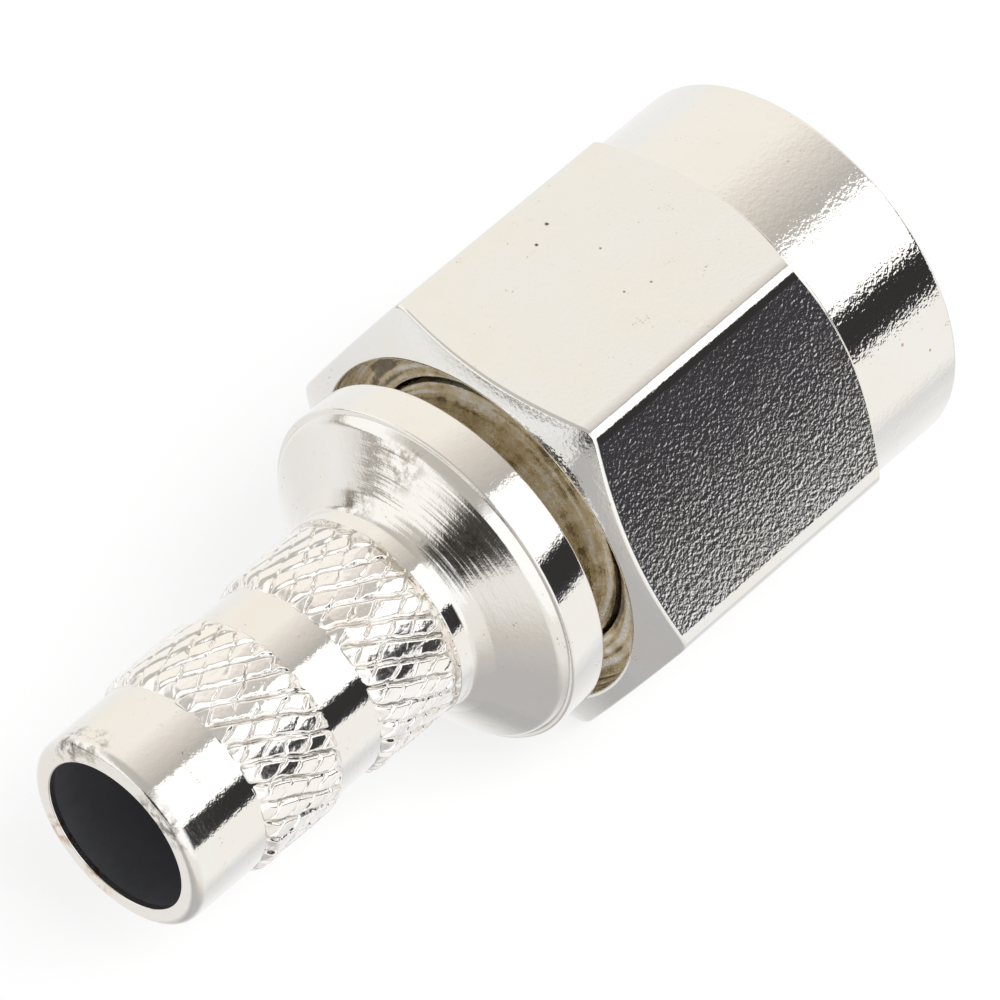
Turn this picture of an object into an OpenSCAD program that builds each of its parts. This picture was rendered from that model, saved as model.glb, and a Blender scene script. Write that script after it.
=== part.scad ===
// SMA coaxial cable plug, crimp type, for RG58-class cable. Millimetres.
//
// Frame: the origin is on the axis at the mating reference plane, the front face of the
// outer conductor. +X points out of the mating end, and the cable enters from -X. +Z is up:
// the coupling nut lies on one of its flats.
//
// Axial places are counted from the reference plane, and grow forward.

/* [Mating interface] */
// Outside diameter of the front sleeve, the outer conductor
sleeve_d = 4.58; // [4.54:0.01:4.6]
// Wall of the front sleeve, round the insulators
sleeve_wall = 0.24; // [0.22:0.01:0.26]
// Diameter of the contact's pin
pin_d = 0.91; // [0.9:0.01:0.94]
// Reach of the pin ahead of the reference plane
pin_reach = 2.0; // [1.3:0.1:2.2]
// Length of the taper at the pin's tip
pin_taper_len = 0.35; // [0.2:0.05:0.5]
// Depth of the gasket's seat behind the reference plane
gasket_seat = 2.6; // [2.5:0.05:2.8]
// Radial step from the sleeve to its root, which carries the gasket
root_step = 0.16; // [0.16:0.01:0.2]
// Length of that root
root_len = 0.7; // [0.5:0.05:0.8]

/* [Coupling nut] */
// Distance across the nut's flats
nut_flats = 8.0; // [8:0.1:9]
// Diameter to which the nut's six corners are turned down
nut_corners = 9.1; // [9:0.05:9.2]
// Overall length of the nut
nut_len = 8.7; // [8.5:0.1:9.5]
// Reach of the nut's mouth ahead of the reference plane
nut_reach = 3.0; // [2.8:0.1:3.4]
// Diameter of the round collar in front of the hexagon
collar_d = 7.84; // [7.6:0.02:7.9]
// Length of the collar, from the mouth back to the middle of each flat
collar_len = 2.55; // [2:0.05:3]
// Chamfer on the collar's front edge
collar_chamfer = 0.1; // [0.05:0.05:0.25]
// Slope of the cone that ends the hexagon in front: axial length for each unit of radius
front_slope = 0.72; // [0.5:0.01:1]
// Slope of the cone that ends the hexagon behind
rear_slope = 0.55; // [0.3:0.01:0.6]
// Diameter of the recess in the nut's rear face
recess_d = 7.3; // [7.2:0.05:7.4]
// Depth of that recess
recess_depth = 0.6; // [0.4:0.05:0.7]
// Rounding of the recess's rim
recess_rim = 0.08; // [0.05:0.01:0.15]

/* [Coupling thread, 1/4-36 UNS] */
// Minor diameter of the nut's thread
thread_minor_d = 5.72; // [5.72:0.005:5.74]
// Diameter of the plain lead-in at the mouth
lead_in_d = 6.5; // [6.45:0.05:6.6]
// Depth of the lead-in
lead_in_depth = 0.5; // [0.3:0.05:0.6]
// Diameter of the relief behind the thread
relief_d = 6.6; // [6.4:0.05:6.8]
// Length of the relief
relief_len = 0.7; // [0.5:0.05:0.8]

/* [Swivel between nut and body] */
// Diameter of the body's barrel, which the nut turns on
barrel_d = 5.68; // [5.6:0.02:5.7]
// Radial running clearance between barrel and nut
running_gap = 0.06; // [0.03:0.01:0.09]
// Gap between the nut's rear face and the flange
nut_gap = 0.6; // [0.3:0.05:0.8]
// Wire thickness of the retaining ring along the axis
ring_thick = 0.5; // [0.4:0.05:0.55]
// Outside diameter of the retaining ring
ring_outer_d = 6.26; // [6.1:0.02:6.3]
// Radial width of the retaining ring
ring_width = 0.63; // [0.55:0.01:0.65]
// Width of the split in the ring
ring_split = 1.0; // [0.6:0.1:1.6]
// Radial gap between the ring and the floors of the body's and the nut's grooves
ring_gap = 0.1; // [0.05:0.01:0.15]
// Axial room beside the ring in the body's groove
ring_play = 0.2; // [0.1:0.05:0.25]
// Place of the ring's rear face behind the reference plane
ring_place = 4.45; // [4.4:0.05:4.5]

/* [Flange and neck] */
// Diameter of the flange's rim
flange_d = 7.12; // [7:0.02:7.16]
// Width of the rim
flange_width = 0.85; // [0.7:0.05:1]
// Step from the rim down to the rounded shoulder behind it
shoulder_step = 0.1; // [0.05:0.01:0.15]
// Radius of the shoulder's rounded edge
shoulder_round = 0.3; // [0.2:0.05:0.4]
// Axial length of the shoulder, from the rim to the neck
shoulder_len = 1.0; // [0.9:0.05:1.2]
// Radius of the hollow between shoulder and neck
neck_hollow = 0.4; // [0.3:0.05:0.5]
// Diameter of the neck
neck_d = 4.24; // [4.24:0.01:4.4]
// Length of the neck, from the hollow to the front knurl
neck_len = 0.35; // [0.2:0.05:0.6]

/* [Crimp stem] */
// Inside diameter of the stem, round the cable's dielectric
cable_bore_d = 3.14; // [3.05:0.01:3.18]
// Outside diameter of the plain stem, under the cable's braid
stem_d = 3.97; // [3.94:0.01:3.99]
// Diameter over the knurl's tops
knurl_d = 4.2; // [4.16:0.01:4.22]
// Depth of the knurl's grooves
knurl_depth = 0.1; // [0.06:0.01:0.1]
// Number of teeth round the knurl
knurl_teeth = 30; // [24:1:34]
// Share of a tooth's width that stays flat on top
knurl_top = 0.62; // [0.4:0.02:0.7]
// Angle between the knurl's grooves and the axis
knurl_angle = 29; // [25:1:35]
// Rows of half diamonds in the front band
front_band_rows = 5; // [4:1:6]
// Rows of half diamonds in the rear band
rear_band_rows = 5; // [4:1:6]
// Length of the plain waist between the bands
waist_len = 1.0; // [0.6:0.1:1.4]
// Length of the plain tip behind the rear band
tip_len = 1.74; // [1.5:0.02:2.4]
// Radius of the tip's outer edge
tip_round = 0.36; // [0.2:0.02:0.38]
// Radius of the bore's mouth
mouth_round = 0.03; // [0.02:0.01:0.05]

/* [Insulators and contact] */
// Depth of the shoulder that stops the insulators, behind the reference plane
insulator_stop = 7.4; // [7.2:0.05:7.5]
// Length of the front insulator
front_insulator_len = 4.6; // [4.2:0.1:5]
// Radial clearance of the insulators in the body
insulator_gap = 0.01; // [0.005:0.005:0.03]
// Diameter of the contact's shank inside the insulators
shank_d = 1.27; // [1.25:0.01:1.3]
// Radial clearance of the shank in the insulators
shank_gap = 0.01; // [0.005:0.005:0.02]
// Diameter of the contact's captive collar
contact_collar_d = 2.0; // [1.8:0.1:2.2]
// Thickness of that collar
contact_collar_len = 0.5; // [0.3:0.05:0.8]
// Diameter of the contact's rear barrel, round the solder cup
cup_od = 1.5; // [1.45:0.05:1.6]
// Inside diameter of the solder cup, for the cable's inner conductor
cup_id = 0.97; // [0.95:0.01:1]
// Depth of the solder cup
cup_depth = 2.0; // [1.5:0.1:2.1]

/* [Gasket] */
// Radial clearance of the gasket on the sleeve's root
gasket_gap = 0.02; // [0.01:0.01:0.04]
// Radial width of the gasket
gasket_width = 0.29; // [0.2:0.01:0.3]
// Thickness of the gasket
gasket_thick = 0.8; // [0.6:0.05:0.9]
// Rounding of the gasket's edges
gasket_round = 0.1; // [0.05:0.01:0.12]

/* [Hidden] */
// Small edge break left by the lathe
EDGE = 0.08;
// Turn of the shoulder's rounded edge, from the rim's direction to the shallow cone
SHOULDER_TURN = 60;
// Overlap that makes a cut pass clear of a face
OVER = 0.5;
// Steps in each small rounding
ARC_STEPS = 8;
// Finishes
NICKEL = [0.80, 0.78, 0.74];
SPRING = [0.72, 0.60, 0.38];
SILICONE = [0.75, 0.28, 0.20];
PTFE = [0.95, 0.95, 0.93];
GOLD = [0.86, 0.68, 0.32];

// Room inside the sleeve for the insulators
insulation_d = sleeve_d - 2 * sleeve_wall;

// Axial stations of the nut
nut_front = nut_reach;
nut_rear = nut_front - nut_len;
hex_end = nut_front - collar_len;
thread_front = nut_front - lead_in_depth;
relief_rear = -gasket_seat;
relief_front = relief_rear + relief_len;
recess_floor = nut_rear + recess_depth;
nut_bore_d = barrel_d + 2 * running_gap;

// Axial stations of the body
flange_front = nut_rear - nut_gap;
flange_rear = flange_front - flange_width;
neck_front = flange_rear - shoulder_len;
front_band_front = neck_front - neck_len;
knurl_row = PI * knurl_d / knurl_teeth / (2 * tan(knurl_angle));
front_band_rear = front_band_front - front_band_rows * knurl_row;
rear_band_front = front_band_rear - waist_len;
rear_band_rear = rear_band_front - rear_band_rows * knurl_row;
stem_end = rear_band_rear - tip_len;

// The ring and its two grooves
ring_rear = -ring_place;
ring_front = ring_rear + ring_thick;
ring_inner_d = ring_outer_d - 2 * ring_width;
body_groove_d = ring_inner_d - 2 * ring_gap;
nut_groove_d = ring_outer_d + 2 * ring_gap;
nut_groove_rear = ring_rear - ring_play;
nut_groove_front = ring_front + ring_play;

// The contact and its seat between the insulators
insulator_joint = -front_insulator_len;
contact_collar_rear = insulator_joint - contact_collar_len;
contact_rear = -insulator_stop;

// Points of an arc round [r, x], from angle a0 to a1
function arc(r, x, radius, a0, a1) =
    [for (i = [0:ARC_STEPS]) let (a = a0 + (a1 - a0) * i / ARC_STEPS)
        [r + radius * cos(a), x + radius * sin(a)]];

// Turns a half section, given as [radius, x] points, about the X axis
module turned(half_section) {
    rotate([0, 90, 0]) rotate_extrude($fn = 96) polygon(half_section);
}

// A plain round cut or bar along X
module round_bar(d, x0, x1) {
    translate([x0, 0, 0]) rotate([0, 90, 0]) cylinder(d = d, h = x1 - x0, $fn = 96);
}

// Rolled diamond knurl. Its grooves cross at the points of a staggered lattice, and each
// diamond between them is a flat top with four flanks. The end faces cut a row in half.
module knurl_band(x_front, rows) {
    root_r = knurl_d / 2 - knurl_depth;
    tooth = 360 / knurl_teeth;
    half_w = tooth / 2 * knurl_top;
    half_l = knurl_row * knurl_top;
    x_rear = x_front - rows * knurl_row;
    function on_drum(r, a, x) = [x, r * cos(a), r * sin(a)];
    // Angle of column j in row k; odd rows stand half a tooth on
    function turn(k, j) = (j + (k % 2) / 2) * tooth;
    // Numbers of the crossing, of the top's sides and of its two ends in row k, column j
    function wrap(j) = (j + knurl_teeth) % knurl_teeth;
    function number(k, j, kind) = (k * knurl_teeth + wrap(j)) * 5 + kind;
    function crossing(k, j) = number(k, j, 0);
    function side_a(k, j) = number(k, j, 1);
    function side_b(k, j) = number(k, j, 2);
    function end_front(k, j) = number(k, j, 3);
    function end_rear(k, j) = number(k, j, 4);
    points = concat(
        [for (k = [0:rows], j = [0:knurl_teeth - 1])
            let (x = x_front - k * knurl_row, a = turn(k, j), mid = a + tooth / 2)
            each [
                on_drum(root_r, a, x),
                on_drum(knurl_d / 2, mid - half_w, x),
                on_drum(knurl_d / 2, mid + half_w, x),
                on_drum(knurl_d / 2, mid, x + half_l),
                on_drum(knurl_d / 2, mid, x - half_l),
            ]],
        [[x_front, 0, 0], [x_rear, 0, 0]]
    );
    front_hub = (rows + 1) * knurl_teeth * 5;
    rear_hub = front_hub + 1;
    // The crossing that a diamond of row k, column j points at, one row on
    function next(k, j) = k % 2 == 0 ? j : j + 1;
    rear_halves = [for (k = [0:rows - 1], j = [0:knurl_teeth - 1])
        let (tip = crossing(k + 1, next(k, j)), a = crossing(k, j), b = crossing(k, j + 1))
        each [
            [side_a(k, j), side_b(k, j), end_rear(k, j)],
            [a, side_a(k, j), end_rear(k, j), tip],
            [b, tip, end_rear(k, j), side_b(k, j)],
        ]];
    front_halves = [for (k = [1:rows], j = [0:knurl_teeth - 1])
        let (tip = crossing(k - 1, next(k, j)), a = crossing(k, j), b = crossing(k, j + 1))
        each [
            [side_b(k, j), side_a(k, j), end_front(k, j)],
            [a, tip, end_front(k, j), side_a(k, j)],
            [b, side_b(k, j), end_front(k, j), tip],
        ]];
    // The flat end faces, as fans about the axis
    end_faces = [for (j = [0:knurl_teeth - 1])
        let (a = crossing(0, j), b = crossing(0, j + 1),
            c = crossing(rows, j), d = crossing(rows, j + 1))
        each [
            [front_hub, side_a(0, j), a],
            [front_hub, side_b(0, j), side_a(0, j)],
            [front_hub, b, side_b(0, j)],
            [rear_hub, c, side_a(rows, j)],
            [rear_hub, side_a(rows, j), side_b(rows, j)],
            [rear_hub, side_b(rows, j), d],
        ]];
    polyhedron(points, concat(end_faces, rear_halves, front_halves), convexity = 6);
}

module connector_body() {
    sleeve_r = sleeve_d / 2;
    root_r = sleeve_r + root_step;
    root_front = -gasket_seat + root_len;
    barrel_r = barrel_d / 2;
    flange_r = flange_d / 2;
    shoulder_r = flange_r - shoulder_step;
    neck_r = neck_d / 2;
    stem_r = stem_d / 2;
    bore_r = cable_bore_d / 2;
    groove_front = ring_front + ring_play;
    // The shoulder is a shallow cone between a rounded edge and the hollow at the neck
    shoulder_edge = arc(shoulder_r - shoulder_round, flange_rear - shoulder_round / 2,
        shoulder_round, 0, -SHOULDER_TURN);
    hollow = arc(neck_r + neck_hollow, neck_front, neck_hollow, 180 - SHOULDER_TURN, 180);
    tip_edge = arc(stem_r - tip_round, stem_end + tip_round, tip_round, 0, -90);
    bore_edge = arc(bore_r + mouth_round, stem_end + mouth_round, mouth_round, 270, 180);
    color(NICKEL) difference() {
        union() {
            turned(concat(
                [
                    [0, 0],
                    [sleeve_r - EDGE, 0],
                    [sleeve_r, -EDGE],
                    [sleeve_r, root_front],
                    [root_r, root_front],
                    [root_r, -gasket_seat],
                    [barrel_r - EDGE, -gasket_seat],
                    [barrel_r, -gasket_seat - EDGE],
                    [barrel_r, groove_front],
                    [body_groove_d / 2, groove_front],
                    [body_groove_d / 2, ring_rear],
                    [barrel_r, ring_rear],
                    [barrel_r, flange_front],
                    [flange_r - EDGE, flange_front],
                    [flange_r, flange_front - EDGE],
                    [flange_r, flange_rear + EDGE / 2],
                    [flange_r - EDGE / 2, flange_rear],
                    [shoulder_r, flange_rear],
                ],
                shoulder_edge,
                hollow,
                [
                    [neck_r, front_band_front],
                    [stem_r, front_band_front],
                ],
                tip_edge,
                [
                    [bore_r + mouth_round, stem_end],
                    [0, stem_end],
                ]
            ));
            knurl_band(front_band_front, front_band_rows);
            knurl_band(rear_band_front, rear_band_rows);
        }
        // Room for the insulators, from the front
        round_bar(insulation_d, -insulator_stop, OVER);
        // Cable bore, with its rounded mouth
        turned(concat(
            [
                [0, -insulator_stop + OVER],
                [0, stem_end - OVER],
                [bore_r + mouth_round, stem_end - OVER],
            ],
            bore_edge,
            [[bore_r, -insulator_stop + OVER]]
        ));
    }
}

module coupling_nut() {
    collar_r = collar_d / 2;
    flat_r = nut_flats / 2;
    corner_r = nut_corners / 2;
    recess_r = recess_d / 2;
    rim_r = recess_r + recess_rim;
    minor_r = thread_minor_d / 2;
    bore_r = nut_bore_d / 2;
    groove_r = nut_groove_d / 2;
    relief_r = relief_d / 2;
    lead_in_r = lead_in_d / 2;
    cone_front = hex_end + (flat_r - collar_r) * front_slope;
    cone_back = hex_end - (corner_r - flat_r) * front_slope;
    color(NICKEL) difference() {
        intersection() {
            union() {
                translate([nut_rear, 0, 0]) rotate([0, 90, 0]) rotate(30)
                    cylinder(d = nut_flats / cos(30), h = cone_front - nut_rear, $fn = 6);
                round_bar(collar_d, nut_rear + nut_len / 2, nut_front);
            }
            turned([
                [0, nut_front],
                [collar_r - collar_chamfer, nut_front],
                [collar_r, nut_front - collar_chamfer],
                [collar_r, cone_front],
                [corner_r, cone_back],
                [corner_r, nut_rear + (corner_r - rim_r) * rear_slope],
                [rim_r, nut_rear],
                [0, nut_rear],
            ]);
        }
        turned(concat(
            [
                [0, nut_front + OVER],
                [lead_in_r, nut_front + OVER],
                [lead_in_r, thread_front],
                [minor_r, thread_front - (lead_in_r - minor_r)],
                [minor_r, relief_front + (relief_r - minor_r)],
                [relief_r, relief_front],
                [relief_r, relief_rear],
                [bore_r, relief_rear],
                [bore_r, nut_groove_front],
                [groove_r, nut_groove_front],
                [groove_r, nut_groove_rear],
                [bore_r, nut_groove_rear],
                [bore_r, recess_floor],
                [recess_r, recess_floor],
            ],
            arc(rim_r, nut_rear + recess_rim, recess_rim, 180, 270),
            [
                [rim_r, nut_rear - OVER],
                [0, nut_rear - OVER],
            ]
        ));
    }
}

// Split spring ring; its rear face rests on the rear wall of the body's groove
module retaining_ring() {
    color(SPRING) difference() {
        round_bar(ring_outer_d, ring_rear, ring_front);
        round_bar(ring_inner_d, ring_rear - OVER, ring_front + OVER);
        translate([ring_rear - OVER, -ring_split / 2, 0])
            cube([ring_thick + 2 * OVER, ring_split, ring_outer_d]);
    }
}

// Soft ring on the barrel's front face, round the root of the sleeve
module gasket() {
    inner = sleeve_d / 2 + root_step + gasket_gap;
    outer = inner + gasket_width;
    back = -gasket_seat;
    front = back + gasket_thick;
    color(SILICONE) turned(concat(
        [[inner, back], [outer, back]],
        arc(outer - gasket_round, front - gasket_round, gasket_round, 0, 90),
        arc(inner + gasket_round, front - gasket_round, gasket_round, 90, 180)
    ));
}

module front_insulator() {
    outer = insulation_d / 2 - insulator_gap;
    inner = shank_d / 2 + shank_gap;
    color(PTFE) turned([
        [inner, 0],
        [outer, 0],
        [outer, insulator_joint],
        [inner, insulator_joint],
    ]);
}

// Its front face holds the contact's collar in a counterbore
module rear_insulator() {
    outer = insulation_d / 2 - insulator_gap;
    seat = contact_collar_d / 2 + shank_gap;
    inner = cup_od / 2 + shank_gap;
    color(PTFE) turned([
        [seat, insulator_joint],
        [outer, insulator_joint],
        [outer, contact_rear],
        [inner, contact_rear],
        [inner, contact_collar_rear],
        [seat, contact_collar_rear],
    ]);
}

module centre_contact() {
    pin_r = pin_d / 2;
    shank_r = shank_d / 2;
    collar_r = contact_collar_d / 2;
    cup_r = cup_od / 2;
    hole_r = cup_id / 2;
    cup_floor = contact_rear + cup_depth;
    color(GOLD) turned([
        [0, pin_reach],
        [pin_r / 3, pin_reach],
        [pin_r, pin_reach - pin_taper_len],
        [pin_r, 0],
        [shank_r, 0],
        [shank_r, insulator_joint],
        [collar_r, insulator_joint],
        [collar_r, contact_collar_rear],
        [cup_r, contact_collar_rear],
        [cup_r, contact_rear],
        [hole_r, contact_rear],
        [hole_r, cup_floor],
        [0, cup_floor + hole_r / 2],
    ]);
}

connector_body();
coupling_nut();
retaining_ring();
gasket();
front_insulator();
rear_insulator();
centre_contact();
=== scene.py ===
import math

import bmesh
import bpy
from mathutils import Matrix, Vector, noise


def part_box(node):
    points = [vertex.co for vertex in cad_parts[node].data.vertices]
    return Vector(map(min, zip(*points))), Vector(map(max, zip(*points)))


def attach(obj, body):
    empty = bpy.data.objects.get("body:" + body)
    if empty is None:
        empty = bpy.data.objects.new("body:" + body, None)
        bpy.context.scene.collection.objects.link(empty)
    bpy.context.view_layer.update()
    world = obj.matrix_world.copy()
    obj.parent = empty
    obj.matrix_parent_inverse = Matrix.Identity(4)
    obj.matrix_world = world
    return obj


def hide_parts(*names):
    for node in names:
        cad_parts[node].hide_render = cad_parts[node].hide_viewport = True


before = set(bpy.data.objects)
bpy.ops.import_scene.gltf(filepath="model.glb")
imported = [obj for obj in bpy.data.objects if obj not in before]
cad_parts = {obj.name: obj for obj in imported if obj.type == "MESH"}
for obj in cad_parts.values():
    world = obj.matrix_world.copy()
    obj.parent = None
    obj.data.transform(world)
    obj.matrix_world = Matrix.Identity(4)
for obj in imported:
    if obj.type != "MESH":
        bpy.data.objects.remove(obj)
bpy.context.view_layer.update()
MM = 0.001

# ---------------------------------------------------------------- sizes, in mm

body_lo, body_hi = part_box("connector_body")
nut_lo, nut_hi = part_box("coupling_nut")
NUT_FRONT = nut_hi.x / MM
NUT_REAR = nut_lo.x / MM
NUT_FLAT = nut_hi.z / MM
NUT_CORNER = nut_hi.y / MM
STEM_END = body_lo.x / MM
FLANGE_R = body_hi.y / MM
FLOOR_Z = nut_lo.z

# The body's front: stations along the axis, from the mating plane at 0 backwards, and radii
SLEEVE_IN_R, SLEEVE_R = 2.05, 2.29
SLEEVE_ROOT, ROOT_R = -1.9, 2.45
GASKET_SEAT = -2.6
BARREL_R = 2.84
GROOVE_FRONT, GROOVE_REAR, GROOVE_R = -3.75, -4.45, 2.4
INSULATOR_STOP = -7.4

# The knurl: teeth round the stem, the grooves' angle to the axis, rows of diamonds in a band
TEETH, HELIX, ROWS = 30, math.radians(29), 5
KNURL_R, KNURL_FLOOR_R = 2.1, 2.0
ROW = math.pi * 2 * KNURL_R / TEETH / (2 * math.tan(HELIX))

# The body's back, from the gap behind the nut to the stem's end
STEM_R, BORE_R, NECK_R = 1.985, 1.57, 2.12
FLANGE_FRONT = NUT_REAR - 0.6
FLANGE_REAR = FLANGE_FRONT - 0.85
NECK_FRONT = FLANGE_REAR - 1.0
BAND_A = NECK_FRONT - 0.35
BAND_A_END = BAND_A - ROWS * ROW
BAND_B = BAND_A_END - 1.0
BAND_B_END = BAND_B - ROWS * ROW
MOUTH_DEEP = 0.13

# The nut's outside: its collar, and the cones at both ends of the hexagon
COLLAR_R, COLLAR_FACE_R = 3.92, 3.3
HEX_END = NUT_FRONT - 2.55
FRONT_SLOPE, REAR_SLOPE, REAR_RIM = 0.72, 0.48, 3.71
ROLL_OFF = 0.14

# The nut's inside: recess, running bore, ring groove, thread relief, thread and lead-in
RECESS_FLOOR, RECESS_R = NUT_REAR + 0.6, 3.65
NUT_BORE_R = 2.9
NUT_GROOVE_FRONT, NUT_GROOVE_REAR, NUT_GROOVE_R = -3.75, -4.65, 3.23
RELIEF_R = 3.3
MINOR_R, MAJOR_R, PITCH = 2.86, 3.16, 0.7056
THREAD_FRONT, THREAD_REAR = NUT_FRONT - 0.5, -1.9
LEAD_IN_R = 3.25

# ---------------------------------------------------------------- meshes


def filleted(corners, steps):
    """The (x, r) points of a half section whose corners (x, r, radius) become small arcs."""
    out = []
    last = len(corners) - 1
    for i, (x, r, rad) in enumerate(corners):
        if rad <= 0 or i in (0, last):
            out.append((x, r))
            continue
        p = Vector((x, r))
        a = Vector(corners[i - 1][:2]) - p
        b = Vector(corners[i + 1][:2]) - p
        ua, ub = a.normalized(), b.normalized()
        half = math.acos(max(-1.0, min(1.0, ua.dot(ub)))) / 2
        reach = min(rad / math.tan(half), a.length * 0.49, b.length * 0.49)
        rad = reach * math.tan(half)
        centre = p + (ua + ub).normalized() * (rad / math.sin(half))
        s, e = p + ua * reach - centre, p + ub * reach - centre
        turn = math.atan2(s.x * e.y - s.y * e.x, s.dot(e))
        for k in range(steps + 1):
            cos, sin = math.cos(turn * k / steps), math.sin(turn * k / steps)
            q = Vector((s.x * cos - s.y * sin, s.x * sin + s.y * cos))
            out.append((centre.x + q.x, centre.y + q.y))
    return out


def place(x, r, a):
    """A point at station x, radius r and angle a, counted from +Z towards -Y."""
    return (x * MM, -r * math.sin(a) * MM, r * math.cos(a) * MM)


def grid_mesh(name, rows, ends_meet=True, slots=None):
    """A mesh from rows of points that close round the axis. slots gives each row's material."""
    n, m = len(rows), len(rows[0])
    verts = [p for row in rows for p in row]
    faces, mats = [], []
    for i in range(n if ends_meet else n - 1):
        j = (i + 1) % n
        for k in range(m):
            l = (k + 1) % m
            faces.append((i * m + k, j * m + k, j * m + l, i * m + l))
            mats.append(slots[i] if slots else 0)
    me = bpy.data.meshes.new(name)
    me.from_pydata(verts, [], faces)
    me.polygons.foreach_set("use_smooth", [True] * len(faces))
    me.polygons.foreach_set("material_index", mats)
    me.update()
    ob = bpy.data.objects.new(name, me)
    bpy.context.scene.collection.objects.link(ob)
    return ob


def face_outwards(ob, sharp_deg=35):
    """Outward faces, sharp edges where they turn hard, and normals weighted so flats stay flat."""
    bm = bmesh.new()
    bm.from_mesh(ob.data)
    bmesh.ops.recalc_face_normals(bm, faces=bm.faces)
    bm.to_mesh(ob.data)
    bm.free()
    ob.data.set_sharp_from_angle(angle=math.radians(sharp_deg))
    mod = ob.modifiers.new("weighted", "WEIGHTED_NORMAL")
    mod.keep_sharp = True
    mod.weight = 60
    return ob


# ---------------------------------------------------------------- the body, one turned piece

outer = [
    (0.0, SLEEVE_IN_R, 0),
    (0.0, SLEEVE_R, 0.06),
    (SLEEVE_ROOT, SLEEVE_R, 0.02),
    (SLEEVE_ROOT, ROOT_R, 0.02),
    (GASKET_SEAT, ROOT_R, 0.03),
    (GASKET_SEAT, BARREL_R, 0.06),
    (GROOVE_FRONT, BARREL_R, 0.02),
    (GROOVE_FRONT, GROOVE_R, 0.02),
    (GROOVE_REAR, GROOVE_R, 0.02),
    (GROOVE_REAR, BARREL_R, 0.02),
    (FLANGE_FRONT, BARREL_R, 0.08),
    (FLANGE_FRONT, FLANGE_R, 0.08),
    (FLANGE_REAR, FLANGE_R, 0.045),
    # A narrow step, the rounded cone of the shoulder, and the hollow where it meets the neck
    (FLANGE_REAR - 0.005, FLANGE_R - 0.1, 0.03),
    (FLANGE_REAR - 0.17, FLANGE_R - 0.17, 0.22),
    (NECK_FRONT + 0.22, NECK_R + 0.30, 0.45),
    (NECK_FRONT - 0.01, NECK_R, 0.14),
    (BAND_A, NECK_R, 0.02),
    (BAND_A, STEM_R, 0),
    (BAND_A_END, STEM_R, 0),
    (BAND_B, STEM_R, 0),
    (BAND_B_END, STEM_R, 0),
    (STEM_END, STEM_R, 0.37),
    (STEM_END, BORE_R, 0.03),
]
inner = [
    (STEM_END + MOUTH_DEEP, BORE_R, 0),
    (INSULATOR_STOP, BORE_R, 0.02),
    (INSULATOR_STOP, SLEEVE_IN_R, 0.02),
    (0.0, SLEEVE_IN_R, 0.02),
]
GAP_FRONT = -5.0
BODY_COLUMNS = 288
LONGEST_FACE = 0.9

PLATED, BORE, GAP, SHOULDER = range(4)


def body_slot(p, q):
    """Which material the band between two neighbouring points of the body's section has."""
    (x, r), next_r = p, q[1]
    # Faces inside the stem, past the mouth's plated edge, take the bore's near-black painted shade
    if max(r, next_r) < BORE_R + 0.001 and x > STEM_END + MOUTH_DEEP - 0.01:
        return BORE
    # Faces in the gap behind the nut take the golden painted reflection
    in_gap = FLANGE_FRONT - 0.01 < x < GAP_FRONT
    if in_gap and r < FLANGE_R - 0.09 and next_r < FLANGE_R - 0.07:
        return GAP
    if NECK_FRONT - 0.05 < x < FLANGE_REAR - 0.02 and r > NECK_R - 0.01:
        return SHOULDER
    return PLATED


section = filleted(outer + inner, 6)[:-1]
points = []
for p, q in zip(section, section[1:] + section[:1]):
    parts = max(1, int(abs(q[0] - p[0]) / LONGEST_FACE))
    for k in range(parts):
        points.append((p[0] + (q[0] - p[0]) * k / parts, p[1] + (q[1] - p[1]) * k / parts))
rows = [
    [place(x, r, 2 * math.pi * k / BODY_COLUMNS) for k in range(BODY_COLUMNS)] for x, r in points
]
slots = [body_slot(p, q) for p, q in zip(points, points[1:] + points[:1])]
body = face_outwards(grid_mesh("turned_body", rows, slots=slots))
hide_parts("connector_body")
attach(body, "connector")


def knurl_height(u, v, spot):
    """0 in the grooves' floors and 1 on the tops.

    u counts the deep grooves and v the ones that cross them; spot, in mm, seeds the wear.
    """
    worn = noise.noise(spot * 1.6)
    rough = noise.noise(spot * 5.0)
    u += 0.10 * noise.noise(spot * 2.3 + Vector((7, 0, 0))) + 0.05 * rough
    v += 0.20 * noise.noise(spot * 2.6 + Vector((0, 9, 0))) + 0.10 * noise.noise(spot * 7.0)
    iu, iv = math.floor(u), math.floor(v)
    du, dv = min(u - iu, iu + 1 - u), min(v - iv, iv + 1 - v)
    # The tool bites less in places, and the crossing grooves often smear shut
    bite = max(0.35, min(1.0, 0.85 + 0.6 * worn))
    cross = max(0.0, min(0.9, 0.42 + 0.9 * noise.noise(spot * 3.1 + Vector((3, 3, 3)))))
    h = 1 - bite * (1 - min(1.0, du / (0.17 + 0.05 * rough)))
    h = min(h, 1 - cross * (1 - min(1.0, dv / 0.11)))
    # Each diamond leans its own way
    lean_u = noise.cell(Vector((iu * 1.0, iv * 1.0, 0.5)))
    lean_v = noise.cell(Vector((iu * 1.0, iv * 1.0, 7.5)))
    return h + (0.36 * lean_u * (u - iu - 0.5) + 0.26 * lean_v * (v - iv - 0.5)) * h


KNURL_COLUMNS, KNURL_LINES = 780, 116
FADE_LEN = 0.26


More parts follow.
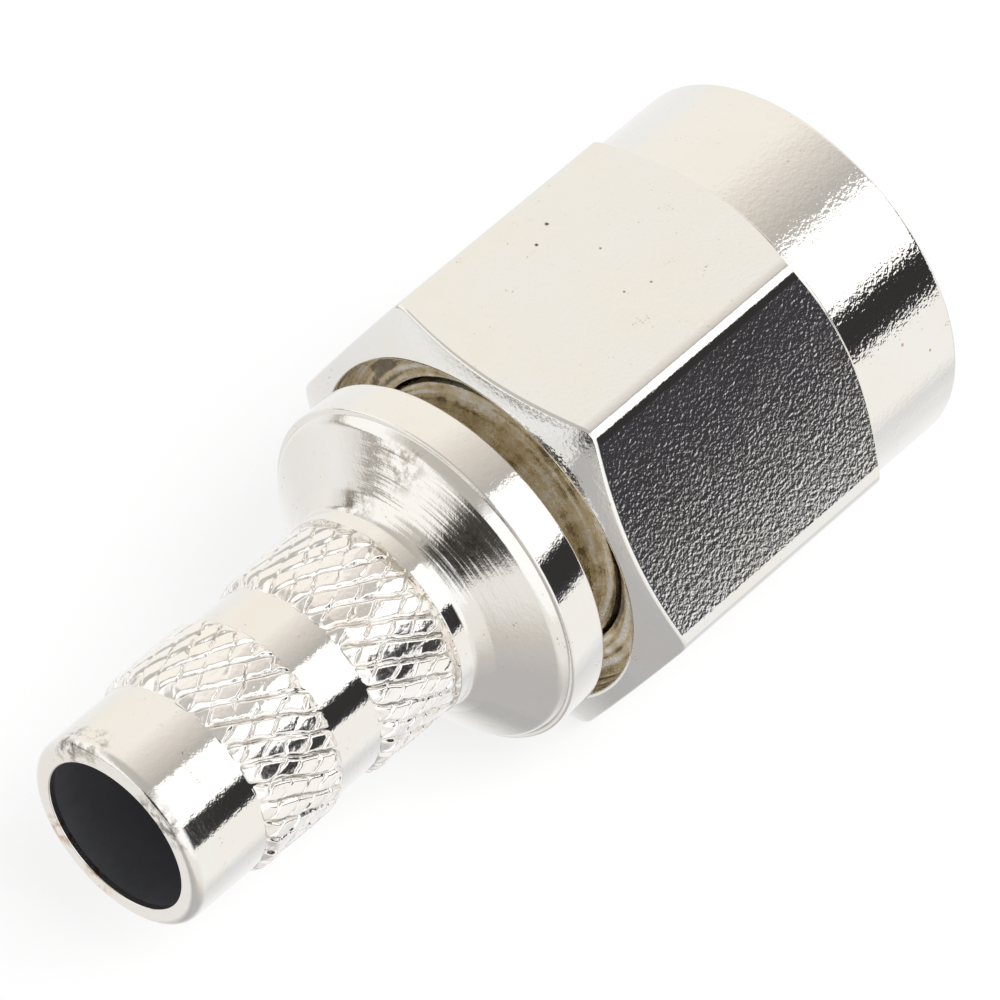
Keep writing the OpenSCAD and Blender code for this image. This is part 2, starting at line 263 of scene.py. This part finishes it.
def knurl(name, x_front, x_rear):
    """A rolled knurl as a fine height field on the stem, fading out towards both ends."""
    lead = 2 * math.pi * KNURL_R / math.tan(HELIX) / TEETH
    rows, depth = [], []
    for i in range(-1, KNURL_LINES + 2):
        t = min(max(i, 0), KNURL_LINES) / KNURL_LINES
        x = x_front + (x_rear - x_front) * t
        edge = min(t, 1 - t) * abs(x_front - x_rear)
        row = []
        for k in range(KNURL_COLUMNS):
            a = 2 * math.pi * k / KNURL_COLUMNS
            if i in (-1, KNURL_LINES + 1):
                # The first and the last line tuck the mesh under the stem's skin
                row.append(place(x, STEM_R - 0.03, a))
                depth.append(0.0)
                continue
            turns = a / (2 * math.pi) * TEETH
            s = (x - x_front) / lead
            spot = Vector((x, KNURL_R * math.cos(a), KNURL_R * math.sin(a)))
            ragged = edge + 0.07 * noise.noise(spot * 4.0)
            fade = math.sin(max(0.0, min(1.0, ragged / FADE_LEN)) * math.pi / 2)
            h = knurl_height(turns - s, turns + s, spot)
            cut = (KNURL_R - KNURL_FLOOR_R) * (1 - h) * min(1.0, 0.25 + fade)
            r = STEM_R + (KNURL_R - STEM_R) * fade - cut
            r += 0.003 * noise.noise(spot * 11.0)
            row.append(place(x, min(r, KNURL_R + 0.008), a))
            depth.append(max(0.0, 1 - h))
        rows.append(row)
    ob = face_outwards(grid_mesh(name, rows, ends_meet=False), 180)
    layer = ob.data.attributes.new("groove", "FLOAT", "POINT")
    layer.data.foreach_set("value", depth)
    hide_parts("connector_body")
    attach(ob, "connector")
    return ob


knurl_front = knurl("knurl_front", BAND_A, BAND_A_END)
knurl_rear = knurl("knurl_rear", BAND_B, BAND_B_END)

# ---------------------------------------------------------------- the coupling nut

HALF_FLAT = math.sqrt(NUT_CORNER**2 - NUT_FLAT**2)
ARC_STEPS = 6
# The recess floor's inner edge, and the rounded corner between the floor and the wall
RECESS_RINGS = 1 + ARC_STEPS + 1
LEAD_IN_CONE = 0.39


def nut_section(across):
    """The nut's half section at one angle, where the hexagon stands at radius across."""
    back = NUT_REAR + (across - REAR_RIM) * REAR_SLOPE
    front = HEX_END - (across - NUT_FLAT) * FRONT_SLOPE
    foot = HEX_END + (NUT_FLAT - COLLAR_R) * FRONT_SLOPE
    return filleted(
        [
            (RECESS_FLOOR, NUT_BORE_R, 0),
            (RECESS_FLOOR, RECESS_R, 0.05),
            (NUT_REAR, RECESS_R, 0.06),
            (NUT_REAR, REAR_RIM, 0.03),
            (back, across, 0.09),
            (front, across, 0.04),
            (foot, COLLAR_R, 0.035),
            (NUT_FRONT, COLLAR_R, 0.12),
            (NUT_FRONT, LEAD_IN_R, 0.05),
            (THREAD_FRONT, LEAD_IN_R, 0.02),
            (THREAD_FRONT - LEAD_IN_CONE, MINOR_R, 0),
        ],
        ARC_STEPS,
    )


def flat_radius(d):
    """Radius of a flat at angle d from its middle: barely crowned, and its edges rolled off."""
    t = NUT_FLAT * abs(math.tan(d))
    sag = 0.0014 * t * t + 0.5 * max(0.0, t - HALF_FLAT + ROLL_OFF) ** 2
    return (NUT_FLAT - sag) / math.cos(d)


def nut_angles():
    """Angles round the nut: coarse over a flat, close where it rolls off and at its corners."""
    half = math.pi / 6
    trim = math.acos(NUT_FLAT / NUT_CORNER)
    rolled = math.atan((HALF_FLAT - ROLL_OFF) / NUT_FLAT)
    out = []
    for side in range(6):
        stations = [-half + (half - trim) * k / 4 for k in range(4)]
        stations += [-trim + (trim - rolled) * k / 8 for k in range(8)]
        stations += [-rolled + 2 * rolled * k / 14 for k in range(15)]
        stations += [rolled + (trim - rolled) * k / 8 for k in range(1, 9)]
        stations += [trim + (half - trim) * k / 4 for k in range(1, 4)]
        out += [side * math.pi / 3 + s for s in stations]
    return sorted(out)


def thread_r(x, a):
    """The thread: crests at the minor diameter, V-grooves between, running out at both ends."""
    turn = (x - THREAD_REAR) / PITCH + a / (2 * math.pi)
    f = abs(turn - math.floor(turn) - 0.5) * 2
    depth = max(0.0, min(1.0, (f - 0.22) / 0.66))
    fade = min(1.0, (THREAD_FRONT - 0.2 - x) / 0.25, (x - THREAD_REAR + 0.1) / 0.3)
    return MINOR_R + (MAJOR_R - MINOR_R) * depth * max(0.0, fade)


angles = nut_angles()
columns = []
for a in angles:
    off_middle = (a + math.pi / 6) % (math.pi / 3) - math.pi / 6
    columns.append(nut_section(min(flat_radius(off_middle), NUT_CORNER)))
outside = [
    [place(*column[i], a) for column, a in zip(columns, angles)] for i in range(len(columns[0]))
]

THREAD_STEPS = 190
thread_top = THREAD_FRONT - LEAD_IN_CONE - 0.01
inside = []
for i in range(THREAD_STEPS + 1):
    x = thread_top + (THREAD_REAR - thread_top) * i / THREAD_STEPS
    inside.append([place(x, thread_r(x, a), a) for a in angles])
tail = filleted(
    [
        (THREAD_REAR, MINOR_R + 0.02, 0),
        (THREAD_REAR, RELIEF_R, 0.02),
        (GASKET_SEAT, RELIEF_R, 0.02),
        (GASKET_SEAT, NUT_BORE_R, 0.02),
        (NUT_GROOVE_FRONT, NUT_BORE_R, 0.02),
        (NUT_GROOVE_FRONT, NUT_GROOVE_R, 0.02),
        (NUT_GROOVE_REAR, NUT_GROOVE_R, 0.02),
        (NUT_GROOVE_REAR, NUT_BORE_R, 0.02),
        (RECESS_FLOOR - 0.01, NUT_BORE_R, 0),
    ],
    3,
)
inside += [[place(x, r, a) for a in angles] for x, r in tail]

NUT_PLATED, NUT_GAP, COLLAR = range(3)
# The nut's recess and the last rings of its bore take the same golden painted reflection
nut_slots = [NUT_GAP] * RECESS_RINGS
for x, r in columns[0][RECESS_RINGS:]:
    nut_slots.append(COLLAR if x > HEX_END - 0.01 and r > COLLAR_FACE_R else NUT_PLATED)
nut_slots += [NUT_PLATED] * (len(inside) - 2) + [NUT_GAP] * 2
nut = face_outwards(grid_mesh("turned_nut", outside + inside, slots=nut_slots), 32)
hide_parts("coupling_nut")
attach(nut, "nut")

# ---------------------------------------------------------------- materials


class Nodes:
    """A short way to write a material's nodes. Sizes are in mm, and bumps in micrometres."""

    def __init__(self, name):
        self.mat = bpy.data.materials.new(name)
        self.mat.use_nodes = True
        self.tree = self.mat.node_tree
        self.shader = self.tree.nodes["Principled BSDF"]
        self.where = self.add("ShaderNodeTexCoord").outputs["Object"]

    def add(self, kind, **props):
        node = self.tree.nodes.new(kind)
        for key, value in props.items():
            setattr(node, key, value)
        return node

    def link(self, a, b):
        self.tree.links.new(a, b)

    def value(self, socket, v):
        if hasattr(v, "is_linked"):
            self.link(v, socket)
        else:
            socket.default_value = v

    def math(self, op, a, b=0.0, clamp=False):
        node = self.add("ShaderNodeMath", operation=op, use_clamp=clamp)
        self.value(node.inputs[0], a)
        self.value(node.inputs[1], b)
        return node.outputs[0]

    def noise(self, size_mm, detail=2.0, rough=0.5, stretch=None, where=None):
        tex = self.add("ShaderNodeTexNoise")
        tex.inputs["Scale"].default_value = 1 / (size_mm * MM)
        tex.inputs["Detail"].default_value = detail
        tex.inputs["Roughness"].default_value = rough
        where = where or self.where
        if stretch:
            mapping = self.add("ShaderNodeMapping")
            mapping.inputs["Scale"].default_value = stretch
            self.link(where, mapping.inputs["Vector"])
            where = mapping.outputs[0]
        self.link(where, tex.inputs["Vector"])
        return tex.outputs["Fac"]

    def rings(self, size_mm):
        """Fine rings round the axis, as turning leaves them: they wander a little on their way."""
        split = self.add("ShaderNodeSeparateXYZ")
        self.link(self.where, split.inputs[0])
        x, y, z = (split.outputs[key] for key in "XYZ")
        squares = self.math("ADD", self.math("MULTIPLY", y, y), self.math("MULTIPLY", z, z))
        r = self.math("SQRT", squares)
        wander, change = 0.035, 0.06
        spot = self.add("ShaderNodeCombineXYZ")
        self.link(self.math("ADD", x, self.math("MULTIPLY", y, wander)), spot.inputs[0])
        self.link(self.math("ADD", r, self.math("MULTIPLY", z, wander)), spot.inputs[1])
        self.link(self.math("MULTIPLY", z, change), spot.inputs[2])
        return self.noise(size_mm, where=spot.outputs[0])

    def range(self, v, a, b, c, d):
        """v, which runs from a to b, made to run from c to d."""
        node = self.add("ShaderNodeMapRange")
        self.link(v, node.inputs["Value"])
        for key, x in zip(("From Min", "From Max", "To Min", "To Max"), (a, b, c, d)):
            node.inputs[key].default_value = x
        return node.outputs[0]

    def ramp(self, v, stops):
        node = self.add("ShaderNodeValToRGB")
        elements = node.color_ramp.elements
        while len(elements) < len(stops):
            elements.new(0.5)
        for el, (pos, col) in zip(elements, stops):
            el.position = pos
            el.color = (*col, 1)
        self.link(v, node.inputs["Fac"])
        return node.outputs["Color"]

    def mix(self, fac, a, b):
        node = self.add("ShaderNodeMix", data_type="RGBA")
        self.value(node.inputs["Factor"], fac)
        for key, v in (("A", a), ("B", b)):
            socket = [s for s in node.inputs if s.name == key and s.type == "RGBA"][0]
            self.value(socket, v if hasattr(v, "is_linked") else (*v, 1))
        return [s for s in node.outputs if s.type == "RGBA"][0]

    def bump(self, height, depth_um, normal=None):
        node = self.add("ShaderNodeBump")
        node.inputs["Strength"].default_value = 1.0
        node.inputs["Distance"].default_value = depth_um * 1e-6
        self.link(height, node.inputs["Height"])
        if normal:
            self.link(normal, node.inputs["Normal"])
        return node.outputs[0]

    def near(self, point_mm, radius_mm):
        """1 at a point of the surface, falling to 0 at the radius."""
        d = self.add("ShaderNodeVectorMath", operation="DISTANCE")
        self.link(self.where, d.inputs[0])
        d.inputs[1].default_value = [v * MM for v in point_mm]
        return self.range(d.outputs["Value"], radius_mm * MM, radius_mm * 0.4 * MM, 0.0, 1.0)

    def set(self, name, v):
        self.value(self.shader.inputs[name], v)


# Marks wider than this, in mm, are smudges with ragged edges, and the rest are pits
SMUDGE = 0.1
FLECK = (0.20, 0.16, 0.12)
# The brown that the knurl's grooves turn to, more the deeper they are
GROOVE_BROWN = (0.24, 0.19, 0.14)
# The turning tool left its coarsest marks over the top of the shoulder, in mm
CHATTER_PLACE, CHATTER_REACH = (-7.7, -0.9, 2.8), 2.4


def nickel(name, tint, grain_um, grain_mm, peel_um, rough, marks=(), grooves=False, streak_um=0):
    """Bright nickel plating over turned brass.

    It has a fine grain, a soft unevenness (peel), faint turning lines, clouds and flecks, and the
    marks given. grooves darkens the knurl's grooves, and streak_um coarsens the turning lines.
    """
    n = Nodes(name)
    cloud = n.noise(1.4, 3, 0.6)
    fine = n.noise(0.12, 2, 0.6)
    dark = tuple(c * 0.9 for c in tint)
    warm = (tint[0], tint[1] * 0.985, tint[2] * 0.95)
    colour = n.mix(n.range(cloud, 0.42, 0.68, 0, 1), tint, warm)
    colour = n.mix(n.range(fine, 0.62, 0.8, 0, 0.5), colour, dark)
    areas = n.range(n.noise(0.35, 1, 0.5), 0.66, 0.74, 0, 1)
    specks = n.range(n.noise(0.05, 1, 0.5), 0.62, 0.7, 0, 1)
    fleck = n.math("MULTIPLY", areas, specks, True)
    colour = n.mix(n.math("MULTIPLY", fleck, 0.6), colour, FLECK)
    for point, radius, hue in marks:
        mark = n.near(point, radius)
        if radius > SMUDGE:
            ragged = n.range(n.noise(0.24, 4, 0.65), 0.46, 0.60, 0, 0.8)
            mark = n.math("MULTIPLY", mark, ragged, True)
        colour = n.mix(mark, colour, hue)
    if grooves:
        deep = n.add("ShaderNodeAttribute", attribute_name="groove").outputs["Fac"]
        colour = n.mix(n.range(deep, 0.55, 0.98, 0, 0.8), colour, GROOVE_BROWN)
    n.set("Base Color", colour)
    n.set("Metallic", 1.0)
    smear = n.noise(0.8, 3, 0.6, (0.6, 1, 1))
    n.set("Roughness", n.range(smear, 0.35, 0.75, rough * 0.85, rough * 1.4))
    if streak_um:
        chatter = n.math("MULTIPLY", n.rings(0.12), n.near(CHATTER_PLACE, CHATTER_REACH))
        normal = n.bump(chatter, streak_um)
    else:
        normal = n.bump(n.noise(0.05, 1, 0.5, (1.0, 0.03, 0.03)), grain_um * 0.3)
    normal = n.bump(n.noise(0.14, 2, 0.6), peel_um, normal)
    normal = n.bump(n.noise(grain_mm, 1, 0.5), grain_um, normal)
    n.set("Normal", normal)
    return n.mat


def gap_painted_reflection():
    """The gap behind the nut: a golden tone with pale streaks, painted reflection, laid along the
    turning tool's lines.
    """
    n = Nodes("gap_painted_reflection")
    # Painted reflection: dark brown through gold to near white, along the streaks
    tones = [
        (0.40, (0.20, 0.16, 0.10)),
        (0.46, (0.68, 0.56, 0.34)),
        (0.53, (0.84, 0.75, 0.56)),
        (0.58, (1.0, 1.0, 0.98)),
    ]
    streaks = n.mix(0.35, n.rings(0.13), n.noise(0.5, 3, 0.65))
    n.set("Base Color", n.ramp(streaks, tones))
    n.set("Metallic", 0.35)
    n.set("Roughness", n.range(n.noise(0.2, 2), 0.3, 0.7, 0.2, 0.45))
    n.set("Normal", n.bump(n.noise(0.08, 2, 0.6), 6))
    return n.mat


def finish(name, tones, cloud_mm, rough, rough_mm, grain, grain_um, metallic=0.0):
    """Any other stuff: its colour, roughness and surface each vary by a noise of their own.

    rough is one value, or the two that it varies between. grain holds the surface noise's
    size, detail, roughness and stretch.
    """
    n = Nodes(name)
    low, high = tones
    n.set("Base Color", n.ramp(n.noise(cloud_mm, 3, 0.6), [(0.3, low), (0.7, high)]))
    n.set("Metallic", metallic)
    varies = isinstance(rough, tuple)
    n.set("Roughness", n.range(n.noise(rough_mm), 0.3, 0.7, *rough) if varies else rough)
    n.set("Normal", n.bump(n.noise(*grain), grain_um))
    return n


def dress(ob, *mats):
    """Gives a piece its materials, and keeps which face has which when the old ones are cleared."""
    which = [0] * len(ob.data.polygons)
    ob.data.polygons.foreach_get("material_index", which)
    ob.data.materials.clear()
    for m in mats:
        ob.data.materials.append(m)
    if len(mats) > 1:
        ob.data.polygons.foreach_set("material_index", which)


NICKEL = (0.88, 0.86, 0.83)
NUT_NICKEL = (0.86, 0.85, 0.83)
KNURL_NICKEL = (0.95, 0.93, 0.91)
BLACK_PIT, BROWN_PIT, RUST_PIT = (0.10, 0.08, 0.07), (0.35, 0.25, 0.18), (0.50, 0.30, 0.16)
# Small flaws: where, how wide and which tone
TOP_PITS = [
    ((-2.1, 1.6, 4.0), 0.05, BLACK_PIT),
    ((-2.6, 1.4, 4.0), 0.045, BLACK_PIT),
    ((-1.9, 0.5, 4.0), 0.035, (0.35, 0.28, 0.22)),
    ((-2.4, -0.5, 4.0), 0.035, BROWN_PIT),
    ((-1.9, -0.7, 4.0), 0.035, BROWN_PIT),
]
COLLAR_PITS = [
    ((1.7, -3.6, 1.5), 0.05, RUST_PIT),
    ((2.3, -3.8, 1.0), 0.04, RUST_PIT),
]
MOUTH_STAINS = [
    ((-15.2, 1.3, -0.9), 0.4, (0.50, 0.26, 0.10)),
    ((-15.2, 0.4, -1.5), 0.4, (0.55, 0.30, 0.13)),
    ((-15.1, 1.1, 1.5), 0.5, (0.20, 0.17, 0.14)),
    ((-15.0, 0.6, 1.8), 0.4, (0.30, 0.26, 0.21)),
    ((-15.2, -0.9, 1.3), 0.5, (0.14, 0.12, 0.10)),
    ((-15.1, -1.4, 1.2), 0.4, (0.16, 0.14, 0.12)),
]
SHOULDER_STAINS = [
    ((-7.5, 0.2, 3.1), 0.6, (0.40, 0.35, 0.29)),
    ((-8.1, 0.8, 2.1), 0.5, (0.34, 0.30, 0.24)),
    ((-7.7, -1.4, 2.3), 0.7, (0.40, 0.38, 0.32)),
]

# grain_um, grain_mm, peel_um and roughness
body_mat = nickel("nickel_body", NICKEL, 0.9, 0.04, 3.6, 0.06, MOUTH_STAINS)
shoulder_mat = nickel(
    "nickel_shoulder", NICKEL, 0.9, 0.04, 2.0, 0.09, SHOULDER_STAINS, streak_um=9
)
knurl_mat = nickel("nickel_knurl", KNURL_NICKEL, 2.0, 0.05, 6.0, 0.14, grooves=True)
nut_mat = nickel("nickel_nut", NUT_NICKEL, 2.2, 0.075, 0.9, 0.05, TOP_PITS)
collar_mat = nickel("nickel_collar", NICKEL, 2.6, 0.07, 5.5, 0.05, COLLAR_PITS)
gap_reflection_mat = gap_painted_reflection()

# Inside the stem the near-black colour is painted shade; a faint glow stands for light that strays
# in
bore = finish(
    "bore_painted_shade", ((0.034, 0.036, 0.042), (0.05, 0.05, 0.056)), 0.5, 0.6, None, (0.06, 2, 0.6), 3
)
bore.set("Emission Color", (0.95, 0.95, 1.0, 1))
bore.set("Emission Strength", 0.012)

ptfe = finish(
    "ptfe", ((0.80, 0.80, 0.77), (0.90, 0.90, 0.88)), 0.8, (0.35, 0.55), 0.3, (0.08, 2, 0.6), 3
)
ptfe.set("Subsurface Weight", 0.15)
ptfe.set("Subsurface Radius", (0.0004, 0.0004, 0.0004))

silicone = finish(
    "silicone", ((0.42, 0.07, 0.04), (0.55, 0.12, 0.07)), 0.5, (0.5, 0.7), 0.2, (0.07, 2, 0.6), 5
)
gold = finish(
    "gold_plate",
    ((0.83, 0.58, 0.22), (0.90, 0.68, 0.32)),
    0.5,
    (0.12, 0.24),
    0.2,
    (0.05, 1, 0.5, (1, 0.05, 0.05)),
    0.8,
    metallic=1.0,
)
bronze = finish(
    "spring_bronze",
    ((0.50, 0.33, 0.14), (0.62, 0.44, 0.20)),
    0.5,
    (0.25, 0.4),
    0.2,
    (0.06, 2, 0.6),
    2,
    metallic=1.0,
)

dress(body, body_mat, bore.mat, gap_reflection_mat, shoulder_mat)
dress(knurl_front, knurl_mat)
dress(knurl_rear, knurl_mat)
dress(nut, nut_mat, gap_reflection_mat, collar_mat)
for name, stuff in (
    ("front_insulator", ptfe),
    ("rear_insulator", ptfe),
    ("gasket", silicone),
    ("centre_contact", gold),
    ("retaining_ring", bronze),
):
    dress(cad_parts[name], stuff.mat)

# ---------------------------------------------------------------- studio

FLOOR_HALF = 1.5
# How much of the floor's look, to the camera, is even white paper, and the rest takes shadows
PAPER_GLOW = 0.72


def stage_floor():
    """A pale floor just under the nut, wide enough to have no edge in view."""
    s = FLOOR_HALF
    me = bpy.data.meshes.new("floor")
    me.from_pydata([(-s, -s, 0), (s, -s, 0), (s, s, 0), (-s, s, 0)], [], [(0, 1, 2, 3)])
    ob = bpy.data.objects.new("floor", me)
    bpy.context.scene.collection.objects.link(ob)
    ob.location.z = FLOOR_Z - 0.00001
    mat = bpy.data.materials.new("paper")
    mat.use_nodes = True
    t = mat.node_tree
    t.nodes.clear()
    out = t.nodes.new("ShaderNodeOutputMaterial")
    path = t.nodes.new("ShaderNodeLightPath")
    lit = t.nodes.new("ShaderNodeBsdfDiffuse")
    lit.inputs["Color"].default_value = (0.9, 0.9, 0.9, 1)
    glow = t.nodes.new("ShaderNodeEmission")
    glow.inputs["Color"].default_value = (1, 1, 1, 1)
    glow.inputs["Strength"].default_value = 1.02
    seen = t.nodes.new("ShaderNodeMath")
    seen.operation = "MULTIPLY"
    seen.inputs[1].default_value = PAPER_GLOW
    t.links.new(path.outputs["Is Camera Ray"], seen.inputs[0])
    mix = t.nodes.new("ShaderNodeMixShader")
    t.links.new(seen.outputs[0], mix.inputs[0])
    t.links.new(lit.outputs[0], mix.inputs[1])
    t.links.new(glow.outputs[0], mix.inputs[2])
    t.links.new(mix.outputs[0], out.inputs["Surface"])
    me.materials.append(mat)
    # The metal mirrors the table that the studio's reflections hold, below the horizon
    ob.visible_glossy = False


stage_floor()

world = bpy.data.worlds.new("studio")
bpy.context.scene.world = world
world.use_nodes = True
wt = world.node_tree
wt.nodes.clear()

# What the metal mirrors, as strips parallel to the connector's axis, by degrees round it with 0
# overhead: pale paper behind, a wide softbox in front, the dark room under it, the table below
STUDIO_AHEAD = [
    (-150, (0.95, 0.95, 0.95)),
    (-100, (0.95, 0.95, 0.94)),
    (-85, (1.0, 0.97, 0.91)),
    (-30, (1.0, 0.965, 0.905)),
    (-12, (0.82, 0.77, 0.72)),
    (14, (0.54, 0.52, 0.49)),
    (18, (0.50, 0.48, 0.46)),
    (20, (1.35, 1.35, 1.35)),
    (64, (1.35, 1.35, 1.35)),
    (67, (0.036, 0.034, 0.034)),
    (86, (0.036, 0.034, 0.034)),
    (92, (0.055, 0.052, 0.062)),
    (94, (1.0, 0.99, 0.97)),
    (135, (1.0, 0.99, 0.98)),
    (150, (0.78, 0.79, 0.80)),
    (185, (0.95, 0.95, 0.95)),
]
# The same behind the stem: paler strips, and a table that turns grey further down
STUDIO_BEHIND = [
    (-172, (0.50, 0.50, 0.50)),
    (-156, (0.90, 0.88, 0.86)),
    (-128, (0.88, 0.87, 0.86)),
    (-104, (0.95, 0.95, 0.95)),
    (-94, (0.80, 0.79, 0.77)),
    (-88, (0.30, 0.27, 0.24)),
    (-82, (1.1, 1.1, 1.1)),
    (-55, (1.1, 1.1, 1.1)),
    (-35, (0.62, 0.60, 0.56)),
    (18, (0.50, 0.48, 0.46)),
    (30, (1.2, 1.2, 1.2)),
    (96, (1.1, 1.1, 1.1)),
    (102, (0.95, 0.93, 0.90)),
    (128, (0.90, 0.88, 0.85)),
    (146, (0.63, 0.60, 0.57)),
    (160, (0.53, 0.52, 0.52)),
]
DARK_DOORWAY = (0.06, 0.055, 0.05)


def wnode(kind, **props):
    node = wt.nodes.new(kind)
    for key, value in props.items():
        setattr(node, key, value)
    return node


def times(a, b):
    """One factor times another, which may be a plain number."""
    node = wnode("ShaderNodeMath", operation="MULTIPLY")
    wt.links.new(a, node.inputs[0])
    if hasattr(b, "is_linked"):
        wt.links.new(b, node.inputs[1])
    else:
        node.inputs[1].default_value = b
    return node.outputs[0]


def reach(socket, start, end):
    """0 at start, rising smoothly to 1 at end."""
    node = wnode("ShaderNodeMapRange", interpolation_type="SMOOTHSTEP")
    node.inputs["From Min"].default_value = start
    node.inputs["From Max"].default_value = end
    wt.links.new(socket, node.inputs["Value"])
    return node.outputs[0]


def blend(fac, a, b):
    """Colour a where fac is 0, and b, a socket or a plain colour, where it is 1."""
    node = wnode("ShaderNodeMix", data_type="RGBA")
    wt.links.new(fac, node.inputs[0])
    wt.links.new(a, node.inputs[6])
    if hasattr(b, "is_linked"):
        wt.links.new(b, node.inputs[7])
    else:
        node.inputs[7].default_value = (*b, 1)
    return node.outputs[2]


def background(colour):
    node = wnode("ShaderNodeBackground")
    if hasattr(colour, "is_linked"):
        wt.links.new(colour, node.inputs["Color"])
    else:
        node.inputs["Color"].default_value = (*colour, 1)
    return node.outputs[0]


def pick(fac, a, b):
    """Light a where fac is 0, and light b where it is 1."""
    node = wnode("ShaderNodeMixShader")
    wt.links.new(fac, node.inputs[0])
    wt.links.new(a, node.inputs[1])
    wt.links.new(b, node.inputs[2])
    return node.outputs[0]


split = wnode("ShaderNodeSeparateXYZ")
wt.links.new(wnode("ShaderNodeTexCoord").outputs["Generated"], split.inputs[0])
along, across, above = (split.outputs[key] for key in "XYZ")
angle = wnode("ShaderNodeMath", operation="ARCTAN2")
wt.links.new(times(across, -1), angle.inputs[0])
wt.links.new(above, angle.inputs[1])
# One full turn runs from 0 to 1, and straight underneath is both
turn = wnode("ShaderNodeMapRange", clamp=False)
turn.inputs["From Min"].default_value = -math.pi
turn.inputs["From Max"].default_value = math.pi
wt.links.new(angle.outputs[0], turn.inputs["Value"])


def strips(stops):
    ramp = wnode("ShaderNodeValToRGB")
    elements = ramp.color_ramp.elements
    while len(elements) < len(stops):
        elements.new(0.5)
    for el, (deg, col) in zip(elements, stops):
        el.position = min(1.0, deg / 360 + 0.5)
        el.color = (*col, 1)
    wt.links.new(turn.outputs[0], ramp.inputs["Fac"])
    return ramp.outputs["Color"]


round_about = blend(reach(along, 0.40, -0.15), strips(STUDIO_AHEAD), strips(STUDIO_BEHIND))
# Straight behind the stem and on the softbox's side, the room is dark down to the table
doorway = times(reach(along, -0.92, -0.985), reach(above, -0.12, -0.04))
doorway = times(doorway, reach(across, 0.14, 0.02))
round_about = blend(doorway, round_about, DARK_DOORWAY)
path = wnode("ShaderNodeLightPath")
soft, mirrored, white = (background(c) for c in ((0.75, 0.75, 0.75), round_about, (1, 1, 1)))
lit_by = pick(path.outputs["Is Glossy Ray"], soft, mirrored)
seen_as = pick(path.outputs["Is Camera Ray"], lit_by, white)
wt.links.new(seen_as, wnode("ShaderNodeOutputWorld").inputs["Surface"])

lamp = bpy.data.lights.new("softbox", "AREA")
lamp.shape = "RECTANGLE"
lamp.size, lamp.size_y = 0.30, 0.20
lamp.energy = 0.9
softbox = bpy.data.objects.new("softbox", lamp)
bpy.context.scene.collection.objects.link(softbox)
softbox.location = (0.05, -0.18, 0.26)
softbox.rotation_euler = (-softbox.location).to_track_quat("-Z", "Y").to_euler()
softbox.visible_glossy = False

# ---------------------------------------------------------------- camera

AZIMUTH, ELEVATION, ROLL = math.radians(-48.813), math.radians(49.143), math.radians(0.635)
CAMERA_AT = Vector((-93.221, -77.100, 135.662))

back = Vector((
    math.sin(AZIMUTH) * math.cos(ELEVATION),
    -math.cos(AZIMUTH) * math.cos(ELEVATION),
    math.sin(ELEVATION),
))
level_right = Vector((math.cos(AZIMUTH), math.sin(AZIMUTH), 0))
level_up = back.cross(level_right)
right = level_right * math.cos(ROLL) + level_up * math.sin(ROLL)
up = level_up * math.cos(ROLL) - level_right * math.sin(ROLL)
cam = bpy.data.cameras.new("camera")
cam.lens = 360
cam.sensor_width = 36
cam.clip_start = 0.01
cam.clip_end = 10
camera = bpy.data.objects.new("camera", cam)
bpy.context.scene.collection.objects.link(camera)
basis = Matrix((right, up, back)).transposed().to_4x4()
basis.translation = CAMERA_AT * MM
camera.matrix_world = basis
bpy.context.scene.camera = camera
bpy.context.scene.view_settings.view_transform = "Standard"
